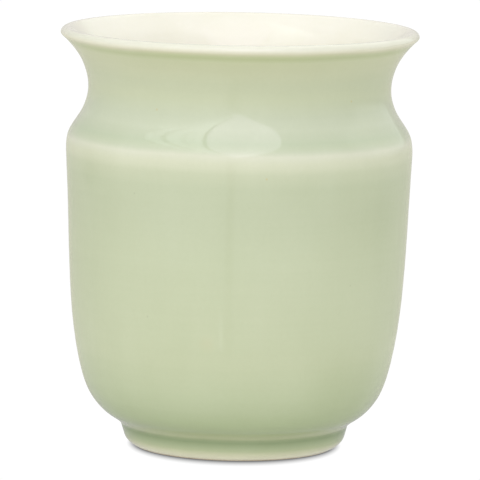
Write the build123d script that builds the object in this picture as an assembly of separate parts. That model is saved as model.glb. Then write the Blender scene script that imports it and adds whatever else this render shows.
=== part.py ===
from build123d import *
import math
import os

# ---------------------------------------------------------------------------
# Celadon brush pot: one thrown and turned porcelain vessel with three glaze
# coats on it. Millimetres, +Z up, origin at the centre of the footprint.
# Every piece is a solid of revolution about Z. The glaze coats lie face to
# face on the porcelain and share its profile curves exactly.
# ---------------------------------------------------------------------------

# --- driving dimensions -----------------------------------------------------
HEIGHT = 120.0            # top of the lip
LIP_CREST_R = 49.21       # radius of the highest line of the lip
LIP_MAX_R = 51.09         # widest radius, on the lip's outer edge
LIP_MAX_Z = 118.41
FOOT_CREASE_R = 32.65     # where the belly meets the foot ring
FOOT_CREASE_Z = 6.50
GLAZE_END_R = 29.00       # the outer coat stops here, short of the table
GLAZE_END_Z = 0.30
CONTACT_OUT_R = 28.50     # unglazed contact ring the pot stands on
CONTACT_IN_R = 25.10
RECESS_IN_R = 23.60       # inside of the foot ring, above its rounded edge
RECESS_Z = 4.40           # bare ceiling of the recess under the pot, centre
FLOOR_Z = 9.20            # glazed inside floor at the centre

T_OUTER = 0.45            # celadon coat on the walls
T_OUTER_LIP = 0.22        # it thins over the lip
T_OUTER_RIDGE = 0.32      # and over the shoulder ridge
T_OUTER_POOL = 0.85       # and pools in the foot crease
T_LINER = 0.30            # inner coat
T_BASE = 0.30             # coat inside the foot ring

WALL_LIP = 3.05           # wall with both coats, across the lip
WALL_NECK = 3.90
WALL_BODY = 4.40
WALL_HEEL = 5.00          # at the turn into the floor

# outer glazed surface from the lip's widest line down to the foot crease:
# (height, radius)
OUTSIDE = [
    (117.40, 50.31), (116.00, 48.90), (114.00, 47.17), (111.00, 45.23),
    (107.00, 43.72), (103.00, 43.20), (99.00, 43.85), (95.00, 45.70),
    (92.00, 47.71), (89.50, 48.94), (87.00, 49.41), (84.50, 49.45),
    (82.00, 49.34), (78.00, 49.14), (70.00, 48.77), (60.00, 48.38),
    (49.00, 47.82), (39.00, 47.03), (31.00, 45.97), (25.00, 44.84),
    (20.00, 43.56), (16.00, 42.02), (13.00, 40.18), (10.80, 38.24),
    (9.00, 36.03), (7.60, 33.94),
]

# outer surface of the foot ring from the crease down to the coat's lower edge
FOOT_OUTSIDE = [
    (5.40, 32.36), (4.30, 32.06), (3.20, 31.74), (2.20, 31.33),
    (1.30, 30.60), (0.70, 29.90),
]


# --- profile helpers: a point is (radius, height) ---------------------------
def vec(point):
    return Vector(point[0], 0, point[1])


def curve(points, start=None, end=None):
    """A smooth profile curve through the points, as one edge.

    The curve's parameter is the running chord length, so an end tangent of
    length one keeps the spacing even and the curve never overshoots."""
    places = [vec(p) for p in points]
    run = [0.0]
    for a, b in zip(places, places[1:]):
        run.append(run[-1] + (b - a).length)
    return Edge.make_spline(
        places,
        tangents=[vec(start).normalized(), vec(end).normalized()],
        parameters=run,
        scale=False,
    )


def bands(points, start, end, size=4):
    """The same curve as a chain of short edges that run on smoothly, so each
    turns into one band of the pot's surface."""
    whole = curve(points, start, end)
    run = [0.0]
    for a, b in zip(points, points[1:]):
        run.append(run[-1] + math.dist(a, b))
    cuts = list(range(0, len(points) - 1, size))
    if len(cuts) > 1 and len(points) - 1 - cuts[-1] < 2:
        cuts.pop()
    cuts.append(len(points) - 1)
    edges = []
    for i, j in zip(cuts, cuts[1:]):
        heads = [
            whole.tangent_at(run[k] / run[-1], position_mode=PositionMode.PARAMETER)
            for k in (i, j)
        ]
        edges.append(curve(points[i : j + 1], *[(t.X, t.Z) for t in heads]))
    return whole, edges


def line(a, b):
    return Edge.make_line(vec(a), vec(b))


def blend(table, x):
    """Straight-line value between the rows of a table of (x, value)."""
    if x <= table[0][0]:
        return table[0][1]
    for (x0, v0), (x1, v1) in zip(table, table[1:]):
        if x <= x1:
            return v0 + (v1 - v0) * (x - x0) / (x1 - x0)
    return table[-1][1]


def offset_points(edge, stations, depth):
    """Points at a depth to the left of the edge's direction of travel."""
    found = []
    for s in stations:
        u = s / edge.length
        p, t = edge.position_at(u), edge.tangent_at(u)
        d = depth(s, p.Z)
        found.append((p.X - t.Z * d, p.Z + t.X * d))
    return found


def spin(*edges):
    return Solid.revolve(Face(Wire(list(edges))), 360, Axis.Z)


# --- air-side curves ---------------------------------------------------------
crest = (LIP_CREST_R, HEIGHT)
crease = (FOOT_CREASE_R, FOOT_CREASE_Z)
glaze_end = (GLAZE_END_R, GLAZE_END_Z)

# the lip's outer quarter is close to an ellipse
lip_quarter = [
    (
        LIP_CREST_R + (LIP_MAX_R - LIP_CREST_R) * math.sin(math.radians(a)),
        LIP_MAX_Z + (HEIGHT - LIP_MAX_Z) * math.cos(math.radians(a)),
    )
    for a in (0, 22, 45, 68, 90)
]
outside, outside_bands = bands(
    lip_quarter + [(r, z) for z, r in OUTSIDE] + [crease],
    start=(1, 0),
    end=(-0.78, -0.63),
)
foot_outside, foot_outside_bands = bands(
    [crease] + [(r, z) for z, r in FOOT_OUTSIDE] + [glaze_end],
    start=(-0.25, -0.97),
    end=(-0.95, -0.31),
)

# travelling down the outside, the wall lies to the right, so depths are
# negative: the offset helper measures to the left
stations = [0.0, 0.7, 1.4, 2.1, 2.8, 3.6, 4.6, 6.0, 8.0, 10.5]
while stations[-1] < outside.length - 7.0:
    stations.append(stations[-1] + 2.8)
stations.append(outside.length - 2.6)

outer_coat = [
    (0.0, 0.42), (6.5, T_OUTER_POOL), (8.5, 0.62), (14.0, 0.50),
    (30.0, T_OUTER), (80.0, T_OUTER), (88.0, T_OUTER_RIDGE), (97.0, 0.50),
    (112.0, 0.55), (116.0, 0.50), (118.4, 0.30), (120.0, T_OUTER_LIP),
]
wall = [
    (0.0, WALL_HEEL), (16.0, WALL_HEEL), (34.0, WALL_BODY),
    (84.0, WALL_BODY), (100.0, WALL_NECK), (113.0, 3.50), (117.5, WALL_LIP),
    (120.0, WALL_LIP),
]

# --- porcelain under the outer coat -------------------------------------------
body_crest = (LIP_CREST_R, HEIGHT - T_OUTER_LIP)
body_crease = (FOOT_CREASE_R - 0.62, FOOT_CREASE_Z + 0.58)
body_side = offset_points(outside, stations[1:], lambda s, z: -blend(outer_coat, z))
body_outside, body_outside_bands = bands(
    [body_crest] + body_side + [body_crease],
    start=(1, 0),
    end=(-0.78, -0.63),
)
foot_stations = [foot_outside.length * k for k in (0.18, 0.36, 0.54, 0.72, 0.88)]
body_foot = offset_points(
    foot_outside, foot_stations, lambda s, z: -blend([(0, 0.12), (1.2, 0.25), (5.5, 0.50)], z)
)
body_glaze_end = offset_points(foot_outside, [foot_outside.length], lambda s, z: -0.12)[0]
body_foot_outside, body_foot_outside_bands = bands(
    [body_crease] + body_foot + [body_glaze_end],
    start=(-0.22, -0.97),
    end=(-0.95, -0.31),
)

# --- inside surface: the wall's thickness measured square to the outside ------
inside_stations = [s for s in stations if s > 4.0]
inside_wall = [
    p
    for p in offset_points(outside, inside_stations, lambda s, z: -blend(wall, z))
    if p[1] > 16.5
]
inside_lip = [
    (LIP_CREST_R - 0.62, HEIGHT - 0.14),
    (LIP_CREST_R - 1.18, HEIGHT - 0.52),
]
inside_heel = [
    (33.30, 13.05), (30.10, 11.45), (25.50, 10.20), (18.00, 9.45), (9.00, 9.24),
]
inside, inside_bands = bands(
    [crest] + inside_lip + inside_wall + inside_heel + [(0, FLOOR_Z)],
    start=(-1, 0),
    end=(-1, 0),
)

# the porcelain lies to the left of the inside surface's direction of travel
liner_stations = [0.8, 1.6, 2.6, 4.0, 6.0, 8.5]
while liner_stations[-1] < inside.length - 8.0:
    liner_stations.append(liner_stations[-1] + 3.2)
body_inside, body_inside_bands = bands(
    [body_crest]
    + offset_points(
        inside,
        liner_stations,
        lambda s, z: blend([(0, T_OUTER_LIP), (3.0, T_LINER), (400, T_LINER)], s),
    )
    + [(0, FLOOR_Z - T_LINER)],
    start=(-1, 0),
    end=(-1, 0),
)

# --- underside: rounded foot ring edge, recess wall and shallow dome ----------
base_end = (RECESS_IN_R + 0.52, 1.10)
bare_underside, bare_underside_bands = bands(
    [
        base_end, (RECESS_IN_R + 0.10, 2.00), (RECESS_IN_R - 0.45, 2.95),
        (RECESS_IN_R - 1.50, 3.70), (RECESS_IN_R - 3.20, 4.05),
        (15.0, 4.22), (7.5, 4.35), (0, RECESS_Z),
    ],
    start=(-0.20, 0.98),
    end=(-1, 0),
)
base_air_end = (base_end[0] - 0.12, base_end[1] + 0.03)
base_stations = [1.3, 2.4, 3.6, 5.2, 9.0, 14.0, 19.5]
base_air, base_air_bands = bands(
    [base_air_end]
    + offset_points(bare_underside, base_stations, lambda s, z: T_BASE)
    + [(0, RECESS_Z - T_BASE)],
    start=(-0.35, 0.94),
    end=(-1, 0),
)
ring_inner_edge = curve(
    [(CONTACT_IN_R, 0), (CONTACT_IN_R - 0.55, 0.28), base_end],
    start=(-0.98, 0.20),
    end=(-0.20, 0.98),
)
ring_outer_edge = curve(
    [body_glaze_end, (CONTACT_OUT_R + 0.20, 0.07), (CONTACT_OUT_R, 0)],
    start=(-0.60, -0.80),
    end=(-0.99, -0.10),
)

# --- solids -------------------------------------------------------------------
porcelain_body = spin(
    *body_outside_bands,
    *body_foot_outside_bands,
    ring_outer_edge,
    line((CONTACT_OUT_R, 0), (CONTACT_IN_R, 0)),
    ring_inner_edge,
    *bare_underside_bands,
    line((0, RECESS_Z), (0, FLOOR_Z - T_LINER)),
    *body_inside_bands,
)
celadon_glaze = spin(
    *outside_bands,
    *foot_outside_bands,
    line(glaze_end, body_glaze_end),
    *body_foot_outside_bands,
    *body_outside_bands,
    line(body_crest, crest),
)
liner_glaze = spin(
    *inside_bands,
    line((0, FLOOR_Z), (0, FLOOR_Z - T_LINER)),
    *body_inside_bands,
    line(body_crest, crest),
)
base_glaze = spin(
    *base_air_bands,
    line((0, RECESS_Z - T_BASE), (0, RECESS_Z)),
    *bare_underside_bands,
    line(base_end, base_air_end),
)

os.makedirs("parts", exist_ok=True)
for name, solid in (
    ("porcelain_body", porcelain_body),
    ("celadon_glaze", celadon_glaze),
    ("liner_glaze", liner_glaze),
    ("base_glaze", base_glaze),
):
    solid.label = name
    export_step(solid, f"parts/{name}.step")
    print(name, round(solid.volume, 1), solid.bounding_box())
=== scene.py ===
import math

import bpy
import numpy as np
from mathutils import Matrix, Vector, noise


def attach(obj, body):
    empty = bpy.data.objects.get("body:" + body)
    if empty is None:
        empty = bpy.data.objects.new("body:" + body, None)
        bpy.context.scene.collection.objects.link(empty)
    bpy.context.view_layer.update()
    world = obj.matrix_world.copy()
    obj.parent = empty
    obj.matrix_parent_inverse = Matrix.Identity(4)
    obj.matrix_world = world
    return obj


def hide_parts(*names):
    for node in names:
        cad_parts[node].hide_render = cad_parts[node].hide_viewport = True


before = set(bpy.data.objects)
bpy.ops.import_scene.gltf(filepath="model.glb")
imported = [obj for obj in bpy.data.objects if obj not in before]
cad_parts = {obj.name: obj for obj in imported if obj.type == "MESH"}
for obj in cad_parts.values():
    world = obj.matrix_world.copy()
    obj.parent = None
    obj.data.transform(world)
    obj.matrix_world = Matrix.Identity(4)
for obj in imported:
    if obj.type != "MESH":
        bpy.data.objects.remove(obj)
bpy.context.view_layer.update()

MM = 0.001
AROUND = 256

# ---------------------------------------------------------------------------
# Camera: long lens, a little above the rim, at the photograph's angle.
# ---------------------------------------------------------------------------
DIST, CAM_Z = 1550.0, 271.26
PITCH, YAW, ROLL, FOCAL_PX = math.radians(7.792), math.radians(0.030), math.radians(0.996), 5461.0

scene = bpy.context.scene
cam_data = bpy.data.cameras.new("camera")
cam_data.sensor_width = 36.0
cam_data.sensor_fit = "HORIZONTAL"
cam_data.lens = 36.0 * FOCAL_PX / 480.0
cam_data.clip_start, cam_data.clip_end = 0.05, 40.0
camera = bpy.data.objects.new("camera", cam_data)
scene.collection.objects.link(camera)
ahead0 = Vector((math.sin(YAW), math.cos(YAW), 0))
right0 = Vector((math.cos(YAW), -math.sin(YAW), 0))
ahead = ahead0 * math.cos(PITCH) - Vector((0, 0, 1)) * math.sin(PITCH)
up0 = ahead0 * math.sin(PITCH) + Vector((0, 0, 1)) * math.cos(PITCH)
right = right0 * math.cos(ROLL) + up0 * math.sin(ROLL)
up = up0 * math.cos(ROLL) - right0 * math.sin(ROLL)
turn = Matrix((right, up, -ahead)).transposed()
camera.matrix_world = Matrix.Translation((0, -DIST * MM, CAM_Z * MM)) @ turn.to_4x4()
scene.camera = camera

# ---------------------------------------------------------------------------
# Profile curves, (radius, height) in mm: the same stations as the CAD solids.
# ---------------------------------------------------------------------------
LIP_R, TOP, LIP_MAX_R, LIP_MAX_Z = 49.21, 120.0, 51.09, 118.41
OUTSIDE = [(117.40, 50.31), (116.00, 48.90), (114.00, 47.17), (111.00, 45.23),
           (107.00, 43.72), (103.00, 43.20), (99.00, 43.85), (95.00, 45.70),
           (92.00, 47.71), (89.50, 48.94), (87.00, 49.41), (84.50, 49.45),
           (82.00, 49.34), (78.00, 49.14), (70.00, 48.77), (60.00, 48.38),
           (49.00, 47.82), (39.00, 47.03), (31.00, 45.97), (25.00, 44.84),
           (20.00, 43.56), (16.00, 42.02), (13.00, 40.18), (10.80, 38.24),
           (9.00, 36.03), (7.60, 33.94)]
CREASE = (32.65, 6.50)
FOOT = [(5.40, 32.36), (4.30, 32.06), (3.20, 31.74), (2.20, 31.33), (1.30, 30.60), (0.70, 29.90)]
GLAZE_END = (29.00, 0.30)


def clamped_spline(points, start, end, step=0.05):
    """A C2 cubic through the points by chord length, ends held to unit tangents, sampled finely."""
    p = np.array(points, float)
    t = np.concatenate([[0], np.cumsum(np.linalg.norm(np.diff(p, axis=0), axis=1))])
    n = len(p)
    h = np.diff(t)
    d0 = np.array(start, float) / np.hypot(*start)
    d1 = np.array(end, float) / np.hypot(*end)
    a = np.zeros((n, n))
    b = np.zeros((n, 2))
    a[0, 0] = a[-1, -1] = 1
    b[0], b[-1] = d0, d1
    for i in range(1, n - 1):
        a[i, i - 1], a[i, i], a[i, i + 1] = h[i], 2 * (h[i - 1] + h[i]), h[i - 1]
        b[i] = 3 * (h[i] * (p[i] - p[i - 1]) / h[i - 1] + h[i - 1] * (p[i + 1] - p[i]) / h[i])
    m = np.linalg.solve(a, b)
    out = []
    for i in range(n - 1):
        k = max(2, int(math.ceil(h[i] / step)))
        u = np.linspace(0, 1, k, endpoint=False)[:, None]
        out.append((2 * u**3 - 3 * u**2 + 1) * p[i] + (u**3 - 2 * u**2 + u) * h[i] * m[i]
                   + (-2 * u**3 + 3 * u**2) * p[i + 1] + (u**3 - u**2) * h[i] * m[i + 1])
    out.append(p[-1:])
    return np.vstack(out)


def arc_length(p):
    return np.concatenate([[0], np.cumsum(np.linalg.norm(np.diff(p, axis=0), axis=1))])


def normals_right(p):
    """Unit normals to the right of travel."""
    t = np.gradient(p, axis=0)
    t /= np.linalg.norm(t, axis=1, keepdims=True)
    return np.stack([t[:, 1], -t[:, 0]], 1)


def table(x, rows):
    rows = sorted(rows)
    return np.interp(x, [r[0] for r in rows], [r[1] for r in rows])


def resample(p, fine, coarse, keep_turn=0.03):
    """Stations along a dense polyline: close together where it turns, wider where it runs straight."""
    s = arc_length(p)
    t = np.gradient(p, axis=0)
    angle = np.unwrap(np.arctan2(t[:, 1], t[:, 0]))
    bend = np.abs(np.gradient(angle, s + np.arange(len(s)) * 1e-12))
    bend = np.convolve(np.pad(bend, 6, mode="edge"), np.ones(13) / 13, "valid")
    step = np.clip(keep_turn / np.maximum(bend, 1e-6), fine, coarse)
    density = np.concatenate([[0], np.cumsum(np.diff(s) / (0.5 * (step[1:] + step[:-1])))])
    n = int(math.ceil(density[-1]))
    want = np.interp(np.linspace(0, density[-1], n + 1), density, s)
    return np.stack([np.interp(want, s, p[:, 0]), np.interp(want, s, p[:, 1])], 1)


lip = [(LIP_R + (LIP_MAX_R - LIP_R) * math.sin(math.radians(a)),
        LIP_MAX_Z + (TOP - LIP_MAX_Z) * math.cos(math.radians(a))) for a in (0, 22, 45, 68, 90)]
outside = clamped_spline(lip + [(r, z) for z, r in OUTSIDE] + [CREASE], (1, 0), (-0.78, -0.63))
foot = clamped_spline([CREASE] + [(r, z) for z, r in FOOT] + [GLAZE_END], (-0.25, -0.97), (-0.95, -0.31))

# the melted glaze fills the sharp corner above the foot with a small fillet
wall = np.vstack([outside, foot[1:]])
s_wall = arc_length(wall)
s_corner = arc_length(outside)[-1]
soft = wall.copy()
for _ in range(60):
    soft[1:-1] = 0.25 * soft[:-2] + 0.5 * soft[1:-1] + 0.25 * soft[2:]
mix = np.exp(-(((s_wall - s_corner) / 1.3) ** 4))[:, None]
wall = wall * (1 - mix) + soft * mix

COAT = [(0.0, 0.12), (1.2, 0.25), (5.5, 0.55), (6.5, 0.80), (8.5, 0.62), (14, 0.50), (30, 0.45), (80, 0.45),
        (88, 0.32), (97, 0.50), (112, 0.55), (116, 0.50), (118.4, 0.30), (120, 0.22)]
WALL = [(0, 5.0), (16, 5.0), (34, 4.4), (84, 4.4), (100, 3.9), (113, 3.5), (117.5, 3.05), (120, 3.05)]


def offset(p, depth):
    return p + normals_right(p) * depth[:, None]


under = wall.copy()
under = offset(under, table(wall[:, 1], COAT))
under[0] = (LIP_R, TOP - 0.22)
s_under = arc_length(wall)
keep = [0]
for i in range(1, len(under)):
    if s_under[i] - s_under[keep[-1]] >= (0.35 if wall[i, 1] > 116 or wall[i, 1] < 9 else 1.4):
        keep.append(i)
if keep[-1] != len(under) - 1:
    keep[-1] = len(under) - 1
under = under[keep]
body_end = under[-1]

inside_src = clamped_spline(lip + [(r, z) for z, r in OUTSIDE] + [CREASE], (1, 0), (-0.78, -0.63))
s_src = arc_length(inside_src)
pts = offset(inside_src, table(inside_src[:, 1], WALL))
wanted = [4.6, 6.0, 8.0, 10.5]
while wanted[-1] < s_src[-1] - 7.0:
    wanted.append(wanted[-1] + 2.8)
inner = [tuple(pts[np.searchsorted(s_src, w)]) for w in wanted]
inner = [q for q in inner if q[1] > 16.5]
inside = clamped_spline([(LIP_R, TOP), (LIP_R - 0.62, TOP - 0.14), (LIP_R - 1.18, TOP - 0.52)] + inner
                        + [(33.30, 13.05), (30.10, 11.45), (25.50, 10.20), (18.00, 9.45), (9.00, 9.24), (0, 9.20)],
                        (-1, 0), (-1, 0))
lined = inside - normals_right(inside) * table(arc_length(inside), [(0, 0.22), (3, 0.30), (400, 0.30)])[:, None]
lined[0], lined[-1] = (LIP_R, TOP - 0.22), (0, 8.90)
lined = lined[:: max(1, len(lined) // 110)]
if lined[-1][0] > 0:
    lined = np.vstack([lined, [(0, 8.90)]])

BASE_END = (24.12, 1.10)
bare = clamped_spline([BASE_END, (23.70, 2.00), (23.15, 2.95), (22.10, 3.70), (20.40, 4.05), (15.0, 4.22), (7.5, 4.35), (0, 4.40)],
                      (-0.20, 0.98), (-1, 0))
base_air = clamped_spline([(24.00, 1.13), (23.42, 1.92), (22.88, 2.76), (21.92, 3.43), (20.34, 3.75), (15.0, 3.92), (7.5, 4.05), (0, 4.10)],
                          (-0.35, 0.94), (-1, 0))
ring_in = clamped_spline([(25.10, 0), (24.55, 0.28), BASE_END], (-0.98, 0.20), (-0.20, 0.98))
ring_out = clamped_spline([tuple(body_end), (28.70, 0.07), (28.50, 0)], (-0.60, -0.80), (-0.99, -0.10))


# ---------------------------------------------------------------------------
# The hand in the clay: the axis wanders a few tenths of a millimetre and the
# wall is never quite round. Every coat follows the same warp.
# ---------------------------------------------------------------------------
def lean(z):
    t = (z - 60.0) / 60.0
    return (-0.20 * (t**2 - 1 / 3) - 0.45 * (t**3 - 0.6 * t) + 0.59 * (t**4 - 6 / 7 * t**2 + 3 / 35))


def warp(r, z, theta):
    fade = np.clip(z / 8.0, 0, 1) * np.clip(r / 20.0, 0, 1)
    wob = (0.050 * np.cos(2 * theta - 0.6 + z * 0.011) + 0.035 * np.cos(3 * theta + 1.9 - z * 0.023)
           + 0.016 * np.cos(5 * theta + 0.4 + z * 0.05) + 0.008 * np.cos(9 * theta - 1.1 + z * 0.09))
    ring = 0.010 * np.sin(z * 1.35 + 0.8 * np.sin(theta)) + 0.008 * np.sin(z * 0.62 + theta)
    rr = r + fade * (wob + ring)
    x = rr * np.cos(theta) + lean(z) * np.clip(z / 4.0, 0, 1)
    y = rr * np.sin(theta)
    return x, y


def turned(name, loop):
    """A closed mesh spun from a closed (radius, height) loop. Points on the axis become one vertex."""
    loop = np.array(loop)
    gap = np.linalg.norm(loop - np.roll(loop, 1, axis=0), axis=1)
    loop = loop[gap > 1e-5]
    theta = np.arange(AROUND) * 2 * math.pi / AROUND
    verts, rows = [], []
    for r, z in loop:
        if r < 1e-6:
            rows.append([len(verts)])
            verts.append((lean(z) * MM * np.clip(z / 4.0, 0, 1), 0, z * MM))
            continue
        x, y = warp(np.full(AROUND, r), np.full(AROUND, z), theta)
        first = len(verts)
        verts.extend(zip(x * MM, y * MM, np.full(AROUND, z * MM)))
        rows.append(list(range(first, first + AROUND)))
    faces = []
    for a, b in zip(rows, rows[1:] + rows[:1]):
        if len(a) == 1 and len(b) == 1:
            continue
        for i in range(AROUND):
            j = (i + 1) % AROUND
            if len(a) == 1:
                faces.append((a[0], b[i], b[j]))
            elif len(b) == 1:
                faces.append((a[i], b[0], a[j]))
            else:
                faces.append((a[i], b[i], b[j], a[j]))
    mesh = bpy.data.meshes.new(name)
    mesh.from_pydata([tuple(map(float, v)) for v in verts], [], faces)
    mesh.validate()
    mesh.polygons.foreach_set("use_smooth", [True] * len(mesh.polygons))
    mesh.set_sharp_from_angle(angle=math.radians(38))
    obj = bpy.data.objects.new(name, mesh)
    scene.collection.objects.link(obj)
    import bmesh
    bm = bmesh.new()
    bm.from_mesh(mesh)
    bmesh.ops.recalc_face_normals(bm, faces=bm.faces)
    bm.to_mesh(mesh)
    bm.free()
    return obj


air = resample(wall, 0.10, 0.62, 0.035)
celadon = turned("glaze_outer", np.vstack([air, under[::-1]]))
inner_air = resample(inside, 0.10, 0.80, 0.05)
liner = turned("glaze_inner", np.vstack([inner_air, lined[::-1]]))
body = turned("porcelain", np.vstack([under, ring_out[1::2], [(28.50, 0)], [(27.8, 0), (27.1, 0), (26.4, 0), (25.7, 0)], ring_in[::2], bare[1::12], [(0, 4.40)], lined[::-1][0:]]))
base = turned("glaze_base", np.vstack([base_air[::6], [(0, 4.10)], [(0, 4.40)], bare[::-1][::6], [BASE_END]]))


# ---------------------------------------------------------------------------
# Materials
# ---------------------------------------------------------------------------
def srgb(r, g, b):
    def one(v):
        v /= 255.0
        return v / 12.92 if v <= 0.04045 else ((v + 0.055) / 1.055) ** 2.4
    return (one(r), one(g), one(b), 1.0)


class Nodes:
    def __init__(self, name):
        self.mat = bpy.data.materials.new(name)
        self.mat.use_nodes = True
        self.t = self.mat.node_tree
        self.bsdf = self.t.nodes["Principled BSDF"]

    def add(self, kind, **props):
        n = self.t.nodes.new(kind)
        for k, v in props.items():
            setattr(n, k, v)
        return n

    def link(self, a, b):
        self.t.links.new(a, b)

    def math(self, op, a, b=None, clamp=False):
        n = self.add("ShaderNodeMath", operation=op, use_clamp=clamp)
        for i, v in enumerate((a, b)):
            if v is None:
                continue
            if isinstance(v, (int, float)):
                n.inputs[i].default_value = v
            else:
                self.link(v, n.inputs[i])
        return n.outputs[0]

    def ramp(self, fac, stops, interpolation="LINEAR"):
        n = self.add("ShaderNodeValToRGB")
        n.color_ramp.interpolation = interpolation
        e = n.color_ramp.elements
        while len(e) > 1:
            e.remove(e[-1])
        e[0].position, e[0].color = stops[0]
        for pos, col in stops[1:]:
            k = e.new(pos)
            k.color = col
        self.link(fac, n.inputs[0])
        return n.outputs[0]

    def mix(self, fac, a, b, blend="MIX"):
        n = self.add("ShaderNodeMix", data_type="RGBA", blend_type=blend)
        if isinstance(fac, (int, float)):
            n.inputs[0].default_value = fac
        else:
            self.link(fac, n.inputs[0])
        for sock, v in ((n.inputs[6], a), (n.inputs[7], b)):
            if isinstance(v, tuple):
                sock.default_value = v
            else:
                self.link(v, sock)
        return n.outputs[2]

    def noise(self, vector, scale, detail=2.0, rough=0.5, distortion=0.0):
        n = self.add("ShaderNodeTexNoise")
        n.inputs["Scale"].default_value = scale
        n.inputs["Detail"].default_value = detail
        n.inputs["Roughness"].default_value = rough
        n.inputs["Distortion"].default_value = distortion
        self.link(vector, n.inputs["Vector"])
        return n.outputs[0]

    def near(self, vector, at_mm, reach_mm):
        """1 at a point, falling smoothly to 0 at the given reach."""
        n = self.add("ShaderNodeVectorMath", operation="DISTANCE")
        self.link(vector, n.inputs[0])
        n.inputs[1].default_value = tuple(v * MM for v in at_mm)
        fall = self.math("SUBTRACT", 1.0, self.math("DIVIDE", n.outputs["Value"], reach_mm * MM), clamp=True)
        return self.math("MULTIPLY", self.math("MULTIPLY", fall, fall), self.math("SUBTRACT", 3.0, self.math("MULTIPLY", fall, 2.0)))

    def scaled(self, vector, sx, sy, sz, loc=(0, 0, 0)):
        n = self.add("ShaderNodeMapping")
        n.inputs["Scale"].default_value = (sx, sy, sz)
        n.inputs["Location"].default_value = loc
        self.link(vector, n.inputs["Vector"])
        return n.outputs[0]


def height_stops(rows, low, high):
    """Colour stops from (z mm, sRGB) rows, for a factor running 0 to 1 from low to high."""
    return [((z - low) / (high - low), srgb(*c)) for z, c in sorted(rows)]


# albedo of the celadon coat by height: paler where the coat is thin (lip,
# shoulder ridge, foot edge), deeper where it pools (under the lip, foot crease).
# The rows also hold painted light and shade: the lower belly darkens towards the foot
# partly from a deeper coat and partly as painted shade, the foot crease is partly
# painted shade, and the foot edge is partly painted light from the table below
CELADON_LOW_WITH_PAINTED_LIGHT = [(0.0, (222, 205, 172)), (0.5, (228, 225, 199)), (1.2, (229, 226, 198)), (2.0, (215, 214, 182)),
               (3.1, (186, 193, 154)), (4.3, (168, 179, 140)), (5.6, (147, 161, 120)), (6.2, (153, 165, 125)),
               (7.0, (178, 184, 142)), (7.8, (173, 180, 138)), (9.0, (165, 176, 134)), (12, (173, 184, 142)),
               (16, (182, 191, 152))]
CELADON_MID_WITH_PAINTED_SHADE = [(16, (182, 191, 152)), (21, (188, 196, 158)), (30, (194, 200, 163)), (60, (195, 201, 166)),
               (73, (192, 198, 164)), (80, (193, 199, 165)), (84, (201, 205, 172)), (85.5, (209, 211, 180)), (87, (213, 214, 184)), (89, (218, 218, 193)),
               (90.3, (202, 207, 178)), (91.3, (196, 203, 172)), (92.4, (193, 201, 170)), (94, (198, 204, 175)), (96, (203, 208, 180)), (99, (201, 206, 177)), (104, (202, 206, 171)),
               (108, (200, 204, 169)), (112, (204, 206, 169)), (115, (204, 206, 167))]
CELADON_TOP = [(115, (203, 206, 166)), (116.2, (192, 197, 152)), (116.8, (197, 201, 158)), (117.3, (210, 208, 171)),
               (117.9, (228, 223, 195)), (118.4, (231, 226, 201)), (118.9, (230, 227, 205)), (119.4, (230, 228, 207)), (120, (239, 236, 216))]


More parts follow.
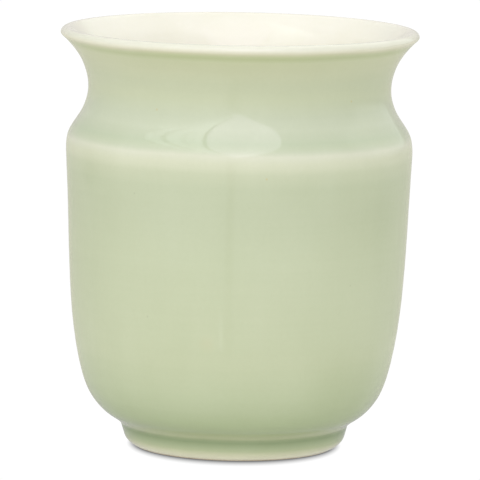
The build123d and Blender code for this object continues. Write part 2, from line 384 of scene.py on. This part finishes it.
def celadon_material():
    n = Nodes("celadon_glaze")
    co = n.add("ShaderNodeTexCoord").outputs["Object"]
    xyz = n.add("ShaderNodeSeparateXYZ")
    n.link(co, xyz.inputs[0])
    z_mm = n.math("MULTIPLY", xyz.outputs[2], 1000.0)
    # the bands of thin and pooled glaze are never level: they drift up and down round the pot
    drift = n.noise(n.scaled(co, 22, 22, 4), 1.0, 3.0, 0.55)
    drift = n.math("MULTIPLY", n.math("SUBTRACT", drift, 0.5), 0.9)
    z_in = n.math("ADD", z_mm, drift)

    def part(rows, low, high):
        fac = n.math("DIVIDE", n.math("SUBTRACT", z_in, low), high - low, clamp=True)
        return n.ramp(fac, height_stops(rows, low, high), "LINEAR")

    low = part(CELADON_LOW_WITH_PAINTED_LIGHT, 0, 16)
    mid = part(CELADON_MID_WITH_PAINTED_SHADE, 16, 115)
    top = part(CELADON_TOP, 115, 120)
    colour = n.mix(n.math("GREATER_THAN", z_in, 16.0), low, mid)
    colour = n.mix(n.math("GREATER_THAN", z_in, 115.0), colour, top)
    # runs in the melt: long faint vertical streaks, and soft clouds
    run = n.noise(n.scaled(co, 120, 120, 14), 1.0, 3.0, 0.55)
    cloud = n.noise(n.scaled(co, 50, 50, 34), 1.0, 4.0, 0.55)
    fine = n.noise(co, 900.0, 3.0, 0.6)
    v = n.math("ADD", n.math("MULTIPLY", n.math("SUBTRACT", run, 0.5), 0.040),
               n.math("MULTIPLY", n.math("SUBTRACT", cloud, 0.5), 0.060))
    v = n.math("ADD", v, n.math("MULTIPLY", n.math("SUBTRACT", fine, 0.5), 0.035))
    v = n.math("ADD", v, 1.0)
    # faint throwing rings under the coat
    rings = n.noise(n.scaled(co, 6, 6, 620), 1.0, 2.0, 0.6)
    v = n.math("ADD", v, n.math("MULTIPLY", n.math("SUBTRACT", rings, 0.5), 0.022))
    # broad places where the coat ran a little thicker or thinner, mm; the last and widest,
    # on the left front, is painted shade that dims that side
    for at, reach, gain in (((36.7, -32.2, 68), 22, -0.050), ((17.4, -46.0, 79), 10, -0.022), ((31, -30.5, 20), 20, -0.055),
                            ((-42, -26, 82), 9, -0.040), ((-14, -40, 17), 16, 0.030), ((-16, -46, 72), 18, 0.020),
                            ((-30, 38, 60), 24, -0.045), ((20, 44, 28), 18, 0.030), ((48, 8, 84), 12, -0.035),
                            ((6, 48, 78), 12, -0.030), ((-48, 5, 30), 18, -0.030), ((40, 26, 50), 20, 0.025), ((-44, -24, 64), 34, -0.028)):
        v = n.math("ADD", v, n.math("MULTIPLY", n.near(co, at, reach), gain))
    shade = n.add("ShaderNodeCombineXYZ")
    # a thicker coat takes more red and blue than green
    n.link(n.math("POWER", v, 1.15), shade.inputs[0])
    n.link(v, shade.inputs[1])
    n.link(n.math("POWER", v, 1.6), shade.inputs[2])
    colour = n.mix(1.0, colour, shade.outputs[0], "MULTIPLY")
    # iron specks melted to yellow, and dark pinholes: a few listed, the rest scattered
    for at in ((7.9, -48.7, 82.9), (-23.0, -36.9, 100.5), (31.3, -29.7, 102.9), (-30.5, 38.8, 66.0), (44.0, 19.0, 38.0)):
        colour = n.mix(n.math("MULTIPLY", n.math("MULTIPLY", n.near(co, at, 0.50), 1.6, clamp=True), 0.26), colour, srgb(206, 176, 70))
    for at in ((-28.9, -39.7, 77.2), (-24.7, -40.4, 42.6), (31.9, -35.8, 51.7), (12.0, 47.0, 70.0), (-45.5, 15.0, 52.0)):
        colour = n.mix(n.math("MULTIPLY", n.math("MULTIPLY", n.near(co, at, 0.42), 1.4, clamp=True), 0.14), colour, srgb(92, 96, 74))
    # a faint yellow-brown patch low on the front: a painted reflection of a spot on the table in front of the pot
    colour = n.mix(n.math("MULTIPLY", n.near(co, (-7.9, -46.0, 36.0), 3.4), 0.10), colour, srgb(208, 186, 136))
    cells = n.add("ShaderNodeTexVoronoi", feature="F1")
    cells.inputs["Scale"].default_value = 55.0
    n.link(co, cells.inputs["Vector"])
    pick = n.add("ShaderNodeSeparateColor")
    n.link(cells.outputs["Color"], pick.inputs[0])
    speck = n.math("MULTIPLY", n.math("LESS_THAN", cells.outputs["Distance"], 0.018), n.math("GREATER_THAN", pick.outputs[0], 0.45))
    colour = n.mix(n.math("MULTIPLY", speck, 0.30), colour, srgb(150, 144, 84))
    n.link(colour, n.bsdf.inputs["Base Color"])
    rough = n.math("ADD", n.math("MULTIPLY", cloud, 0.03), 0.015)
    n.link(rough, n.bsdf.inputs["Roughness"])
    n.bsdf.inputs["IOR"].default_value = 1.55
    bump = n.add("ShaderNodeBump")
    bump.inputs["Strength"].default_value = 1.0
    bump.inputs["Distance"].default_value = 0.00002
    h = n.math("ADD", n.math("MULTIPLY", n.noise(co, 110.0, 2.0, 0.45), 1.0), n.math("MULTIPLY", n.noise(co, 1100.0, 2.0, 0.5), 0.03))
    n.link(h, bump.inputs["Height"])
    n.link(bump.outputs[0], n.bsdf.inputs["Normal"])
    return n.mat


def liner_material():
    n = Nodes("liner_glaze")
    co = n.add("ShaderNodeTexCoord").outputs["Object"]
    cloud = n.noise(n.scaled(co, 45, 45, 30), 1.0, 4.0, 0.6)
    fine = n.noise(co, 800.0, 2.0, 0.5)
    fac = n.math("ADD", n.math("MULTIPLY", cloud, 0.8), n.math("MULTIPLY", fine, 0.2))
    colour = n.ramp(fac, [(0.30, srgb(242, 238, 219)), (0.70, srgb(246, 242, 227))])
    n.link(colour, n.bsdf.inputs["Base Color"])
    n.link(n.math("ADD", n.math("MULTIPLY", cloud, 0.06), 0.07), n.bsdf.inputs["Roughness"])
    n.bsdf.inputs["IOR"].default_value = 1.5
    bump = n.add("ShaderNodeBump")
    bump.inputs["Distance"].default_value = 0.000012
    n.link(n.noise(co, 150.0, 2.0, 0.5), bump.inputs["Height"])
    n.link(bump.outputs[0], n.bsdf.inputs["Normal"])
    return n.mat


def porcelain_material():
    n = Nodes("bare_porcelain")
    co = n.add("ShaderNodeTexCoord").outputs["Object"]
    grain = n.noise(co, 2600.0, 5.0, 0.65)
    cloud = n.noise(co, 120.0, 3.0, 0.6)
    fac = n.math("ADD", n.math("MULTIPLY", grain, 0.5), n.math("MULTIPLY", cloud, 0.5))
    colour = n.ramp(fac, [(0.32, srgb(196, 176, 146)), (0.5, srgb(214, 200, 174)), (0.68, srgb(226, 216, 196))])
    n.link(colour, n.bsdf.inputs["Base Color"])
    n.link(n.math("ADD", n.math("MULTIPLY", grain, 0.2), 0.62), n.bsdf.inputs["Roughness"])
    bump = n.add("ShaderNodeBump")
    bump.inputs["Distance"].default_value = 0.00004
    n.link(grain, bump.inputs["Height"])
    n.link(bump.outputs[0], n.bsdf.inputs["Normal"])
    return n.mat


def base_material():
    n = Nodes("base_glaze")
    co = n.add("ShaderNodeTexCoord").outputs["Object"]
    xyz = n.add("ShaderNodeSeparateXYZ")
    n.link(co, xyz.inputs[0])
    radius = n.math("SQRT", n.math("ADD", n.math("MULTIPLY", xyz.outputs[0], xyz.outputs[0]), n.math("MULTIPLY", xyz.outputs[1], xyz.outputs[1])))
    edge = n.math("DIVIDE", n.math("SUBTRACT", radius, 0.017), 0.0065, clamp=True)
    cloud = n.noise(co, 90.0, 4.0, 0.6)
    fac = n.math("ADD", n.math("MULTIPLY", edge, 0.75), n.math("MULTIPLY", cloud, 0.25))
    colour = n.ramp(fac, [(0.0, srgb(216, 220, 196)), (0.55, srgb(196, 205, 172)), (0.85, srgb(172, 184, 148)), (1.0, srgb(200, 200, 170))])
    n.link(colour, n.bsdf.inputs["Base Color"])
    n.link(n.math("ADD", n.math("MULTIPLY", cloud, 0.08), 0.10), n.bsdf.inputs["Roughness"])
    bump = n.add("ShaderNodeBump")
    bump.inputs["Distance"].default_value = 0.00004
    n.link(n.noise(co, 140.0, 2.0, 0.5), bump.inputs["Height"])
    n.link(bump.outputs[0], n.bsdf.inputs["Normal"])
    return n.mat


for obj, mat, node, slot in ((celadon, celadon_material(), "celadon_glaze", "celadon_glaze"),
                             (liner, liner_material(), "liner_glaze", "liner_glaze"),
                             (body, porcelain_material(), "porcelain_body", "porcelain"),
                             (base, base_material(), "base_glaze", "base_glaze")):
    obj.data.materials.append(mat)
    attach(obj, "root")
    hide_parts(node)

# ---------------------------------------------------------------------------
# Studio: a white table in a soft light tent. The tent is the surround: bright
# cloth to the front and sides, a V of brighter light where the front curtains
# part above the lens, a narrow darker slit below it, and a dimmer back.
# ---------------------------------------------------------------------------
TENT, TENT_SWING, VEE, SLIT, BACK, TOP_LIGHT = 0.72, 0.17, 2.2, 0.5, 0.66, 0.76
TABLE = [(0, -.27), (.13, -.245), (.28, -.21), (.42, -.16), (.62, -.02), (.76, .14), (1.1, 1.0), (2.6, 3.0), (4.0, 9.0)]


def smooth_mesh(name, points, faces):
    mesh = bpy.data.meshes.new(name)
    mesh.from_pydata(points, [], faces)
    obj = bpy.data.objects.new(name, mesh)
    scene.collection.objects.link(obj)
    return obj


edge = [(-x, y) for x, y in TABLE[:0:-1]] + TABLE
floor = smooth_mesh("floor", [(x, y, 0.0) for x, y in edge], [tuple(range(len(edge)))])
n = Nodes("floor")
n.bsdf.inputs["Base Color"].default_value = (0.62, 0.62, 0.62, 1)
n.bsdf.inputs["Emission Color"].default_value = (1, 1, 1, 1)
n.bsdf.inputs["Emission Strength"].default_value = 0.34
n.bsdf.inputs["Roughness"].default_value = 0.8
n.bsdf.inputs["Specular IOR Level"].default_value = 0.2
# seen directly, the table is lit through from below and burns out to white,
# apart from the thin shadow where the foot meets it: a painted shadow, drawn by
# a formula round the foot ring and wider towards the front (-Y), not traced
spot = n.add("ShaderNodeSeparateXYZ")
n.link(n.add("ShaderNodeTexCoord").outputs["Object"], spot.inputs[0])
radius = n.math("SQRT", n.math("ADD", n.math("POWER", spot.outputs[0], 2.0), n.math("POWER", spot.outputs[1], 2.0)))
ahead_of = n.math("DIVIDE", n.math("MULTIPLY", spot.outputs[1], -1.0), n.math("MAXIMUM", radius, 0.001), clamp=True)
spread = n.math("ADD", n.math("MULTIPLY", n.math("POWER", ahead_of, 2.0), 0.0074), 0.0026)
painted_contact_shadow = n.math("SUBTRACT", 1.0, n.math("DIVIDE", n.math("MAXIMUM", n.math("SUBTRACT", radius, 0.0285), 0.0), spread), clamp=True)
lit = n.math("SUBTRACT", 1.0, n.math("MULTIPLY", n.math("POWER", painted_contact_shadow, 1.5), 0.90))
glow = n.add("ShaderNodeEmission")
n.link(n.math("MULTIPLY", lit, 1.02), glow.inputs["Strength"])
path = n.add("ShaderNodeLightPath")
both = n.add("ShaderNodeMixShader")
n.link(path.outputs["Is Camera Ray"], both.inputs[0])
# in the glaze's reflections it is a calm pale grey, dimmer near the pot and behind it;
# this reflected-only image also holds a bright strip in front, a dark line and a bright
# spot, painted there so that the glaze shows them as painted reflections
where = n.add("ShaderNodeSeparateXYZ")
n.link(n.add("ShaderNodeTexCoord").outputs["Object"], where.inputs[0])
gone = n.math("SQRT", n.math("ADD", n.math("POWER", n.math("MULTIPLY", where.outputs[0], 1.0), 2.0), n.math("POWER", where.outputs[1], 2.0)))
near = n.math("DIVIDE", n.math("SUBTRACT", gone, 0.03), 0.11, clamp=True)
behind = n.math("DIVIDE", n.math("ADD", where.outputs[1], 0.02), 0.12, clamp=True)
mirrored = n.add("ShaderNodeEmission")
far_side = n.math("DIVIDE", n.math("SUBTRACT", n.math("DIVIDE", where.outputs[1], n.math("MAXIMUM", gone, 0.001)), 0.35), 0.50, clamp=True)
n.link(n.mix(far_side, (1.0, 1.0, 1.0, 1), (0.92, 0.905, 0.81, 1)), mirrored.inputs["Color"])
strip = n.math("SUBTRACT", where.outputs[0], n.math("MULTIPLY", n.math("ADD", where.outputs[1], 0.12), 0.19))
strip = n.math("SUBTRACT", 1.0, n.math("DIVIDE", n.math("ABSOLUTE", n.math("ADD", strip, 0.0175)), 0.0034), clamp=True)
strip = n.math("MULTIPLY", strip, n.math("MULTIPLY", n.math("LESS_THAN", where.outputs[1], -0.118), n.math("GREATER_THAN", where.outputs[1], -0.20)))
out = n.math("MAXIMUM", n.math("SUBTRACT", -0.048, where.outputs[1]), 0.01)
gap_line = n.math("ADD", where.outputs[0], n.math("ADD", n.math("MULTIPLY", out, 0.0777), 0.0017))
gap_line = n.math("SUBTRACT", 1.0, n.math("DIVIDE", n.math("ABSOLUTE", gap_line), n.math("MULTIPLY", out, 0.062)), clamp=True)
gap_line = n.math("MULTIPLY", gap_line, n.math("MULTIPLY", n.math("LESS_THAN", where.outputs[1], -0.110), 0.24))
# a bright spot the table shows only in reflections, painting a reflection low on the pot's front
reflected_bright_spot = n.near(n.add("ShaderNodeTexCoord").outputs["Object"], (-34, -133, 0), 13)
base_level = n.math("SUBTRACT", n.math("ADD", 0.55, n.math("MULTIPLY", near, 0.27)), n.math("ADD", n.math("MULTIPLY", behind, 0.08), gap_line))
n.link(n.math("ADD", base_level, n.math("ADD", n.math("MULTIPLY", strip, 0.85), n.math("MULTIPLY", reflected_bright_spot, 0.45))), mirrored.inputs["Strength"])
seen = n.add("ShaderNodeMixShader")
n.link(path.outputs["Is Glossy Ray"], seen.inputs[0])
n.link(n.bsdf.outputs[0], seen.inputs[1])
n.link(mirrored.outputs[0], seen.inputs[2])
n.link(seen.outputs[0], both.inputs[1])
n.link(glow.outputs[0], both.inputs[2])
n.link(both.outputs[0], n.t.nodes["Material Output"].inputs["Surface"])
floor.data.materials.append(n.mat)

world = bpy.data.worlds.new("light_tent")
scene.world = world
world.use_nodes = True
w = Nodes.__new__(Nodes)
w.t = world.node_tree
way = w.add("ShaderNodeTexCoord").outputs["Generated"]
sep = w.add("ShaderNodeSeparateXYZ")
w.link(way, sep.inputs[0])
dx, dy, dz = sep.outputs


def step(x, low, high):
    """0 below low, 1 above high, straight between."""
    return w.math("DIVIDE", w.math("SUBTRACT", x, low), high - low, clamp=True)


def lerp(fac, a, b):
    return w.math("ADD", w.math("MULTIPLY", w.math("SUBTRACT", 1.0, fac), a), w.math("MULTIPLY", fac, b))


deg = 180 / math.pi
az = w.math("MULTIPLY", w.math("ARCTAN2", dx, w.math("MULTIPLY", dy, -1.0)), deg)
el = w.math("MULTIPLY", w.math("ARCSINE", dz), deg)
away = w.math("ABSOLUTE", az)
rear = step(w.math("SUBTRACT", away, w.math("MULTIPLY", el, 0.95)), 139.0, 142.0)
cloth = w.math("ADD", w.math("MULTIPLY", w.math("COSINE", w.math("DIVIDE", w.math("ADD", az, 15.0), deg)), TENT_SWING), TENT)
level = lerp(rear, cloth, BACK)
glow_right = w.math("MULTIPLY", step(az, 92.0, 104.0),
                    w.math("MULTIPLY", step(el, -2.0, 6.0), w.math("SUBTRACT", 1.0, step(el, 48.0, 60.0))))
level = w.math("ADD", level, w.math("MULTIPLY", w.math("MULTIPLY", glow_right, w.math("SUBTRACT", 1.0, rear)), 0.51))
level = lerp(step(el, 58.0, 72.0), level, TOP_LIGHT)
# the front curtains, on a plane in front of the pot
front = w.math("MAXIMUM", w.math("MULTIPLY", dy, -1.0), 0.02)
ax = w.math("DIVIDE", dx, front)
ah = w.math("DIVIDE", dz, front)
left = w.math("MAXIMUM", w.math("SUBTRACT", -0.02, ax), 0.0)
right_ = w.math("MAXIMUM", w.math("ADD", ax, 0.02), 0.0)


def curve(x, a, b):
    return w.math("MULTIPLY", x, w.math("ADD", w.math("MULTIPLY", x, b), a))


rise = w.math("ADD", w.math("ADD", curve(left, 1.3, 2.0), curve(right_, 0.75, 1.2)), 0.004)
rel = w.math("DIVIDE", w.math("SUBTRACT", ah, 0.34), rise)
facing = step(w.math("MULTIPLY", dy, -1.0), 0.02, 0.06)
# folds of the left curtain, fanning out from the bottom of the V
waver = w.noise(way, 5.0, 2.0, 0.5)
fan = w.math("ADD", w.math("DIVIDE", w.math("SUBTRACT", ah, 0.30), w.math("MAXIMUM", left, 0.002)),
             w.math("MULTIPLY", w.math("SUBTRACT", waver, 0.5), 0.10))
grey = lambda v: (v / 2.5, v / 2.5, v / 2.5, 1)
folds = w.ramp(w.math("DIVIDE", fan, 4.0), [(x / 4.0, grey(v)) for x, v in (
    (0.0, 0.93), (0.68, 0.95), (0.74, 1.6), (0.79, 0.0), (0.84, 1.8), (0.89, 1.8), (0.945, 0.0), (1.00, 2.1), (1.12, 1.9),
    (1.19, 0.2), (1.26, 2.2), (1.45, 2.2), (1.58, 1.3), (1.67, 2.3), (1.85, 1.8), (2.0, 2.2), (3.0, 2.0))])
in_folds = w.math("MULTIPLY", step(left, 0.0, 0.02), step(fan, 0.66, 0.72))
level = lerp(w.math("MULTIPLY", in_folds, facing), level, w.math("MULTIPLY", folds, 2.5))
ribbed = w.math("MULTIPLY", step(rel, 0.80, 0.86), step(left, 0.0, 0.02))
level = lerp(w.math("MULTIPLY", ribbed, facing), level, 0.30)
in_vee = w.math("MULTIPLY", step(rel, 0.97, 1.04), facing)
level = lerp(in_vee, level, w.math("SUBTRACT", VEE, w.math("MULTIPLY", step(el, 62.0, 74.0), 1.0)))
# seams of the tent on the left
seam = w.math("ADD", w.math("SUBTRACT", 1.0, step(w.math("ABSOLUTE", w.math("ADD", az, 80.0)), 0.8, 2.5)),
              w.math("SUBTRACT", 1.0, step(w.math("ABSOLUTE", w.math("ADD", w.math("ADD", az, 48.5), w.math("MULTIPLY", el, 0.6))), 0.7, 2.0)), clamp=True)
seam = w.math("MULTIPLY", seam, w.math("MULTIPLY", step(el, 2.0, 10.0), w.math("SUBTRACT", 1.0, step(el, 45.0, 55.0))))
level = w.math("MULTIPLY", level, w.math("SUBTRACT", 1.0, w.math("MULTIPLY", seam, 0.28)))
# the lens and its stand, under the tip of the V
lens = w.math("ADD", w.math("POWER", w.math("DIVIDE", w.math("ADD", az, -0.5), 3.2), 2.0), w.math("POWER", w.math("DIVIDE", w.math("ADD", el, -11.5), 1.8), 2.0))
level = lerp(w.math("SUBTRACT", 1.0, step(lens, 0.6, 1.3)), level, 0.35)
slit = w.math("MULTIPLY", w.math("SUBTRACT", 1.0, step(w.math("ABSOLUTE", w.math("ADD", az, 4.8)), 1.8, 3.6)),
              w.math("SUBTRACT", 1.0, step(el, 6.0, 12.0)))
level = lerp(slit, level, SLIT)
back = world.node_tree.nodes["Background"]
tint = w.mix(step(away, 90.0, 118.0), (0.945, 1.003, 1.008, 1), (0.965, 0.99, 0.955, 1))
tint = w.mix(rear, tint, (1.02, 0.98, 0.95, 1))
tint = w.mix(in_vee, tint, (1.0, 0.96, 1.10, 1))
# seen straight on, past the edge of the floor, the tent is plain white
straight = w.add("ShaderNodeLightPath").outputs["Is Camera Ray"]
w.link(w.mix(straight, tint, (1.0, 1.0, 1.0, 1)), back.inputs[0])
w.link(lerp(straight, level, 1.02), back.inputs[1])


def panel(name, at, aim, size, power, colour=(1, 1, 1)):
    data = bpy.data.lights.new(name, "AREA")
    data.shape = "RECTANGLE"
    data.size, data.size_y = size
    data.energy = power
    data.color = colour
    o = bpy.data.objects.new(name, data)
    o.location = at
    o.rotation_euler = (Vector(aim) - Vector(at)).to_track_quat("-Z", "Y").to_euler()
    o.visible_camera = False
    o.visible_glossy = False
    scene.collection.objects.link(o)
    return o


panel("key_left", (-1.1, -2.3, 1.5), (0, 0, 0.06), (1.6, 1.6), 8.35, (1.06, 0.97, 1.03))
panel("fill_right", (1.7, -0.5, 1.5), (0, 0, 0.09), (1.4, 1.4), 0.5)

scene.view_settings.view_transform = "Standard"
scene.view_settings.look = "None"
scene.view_settings.exposure = 0.0
scene.view_settings.gamma = 1.0

bpy.context.view_layer.update()
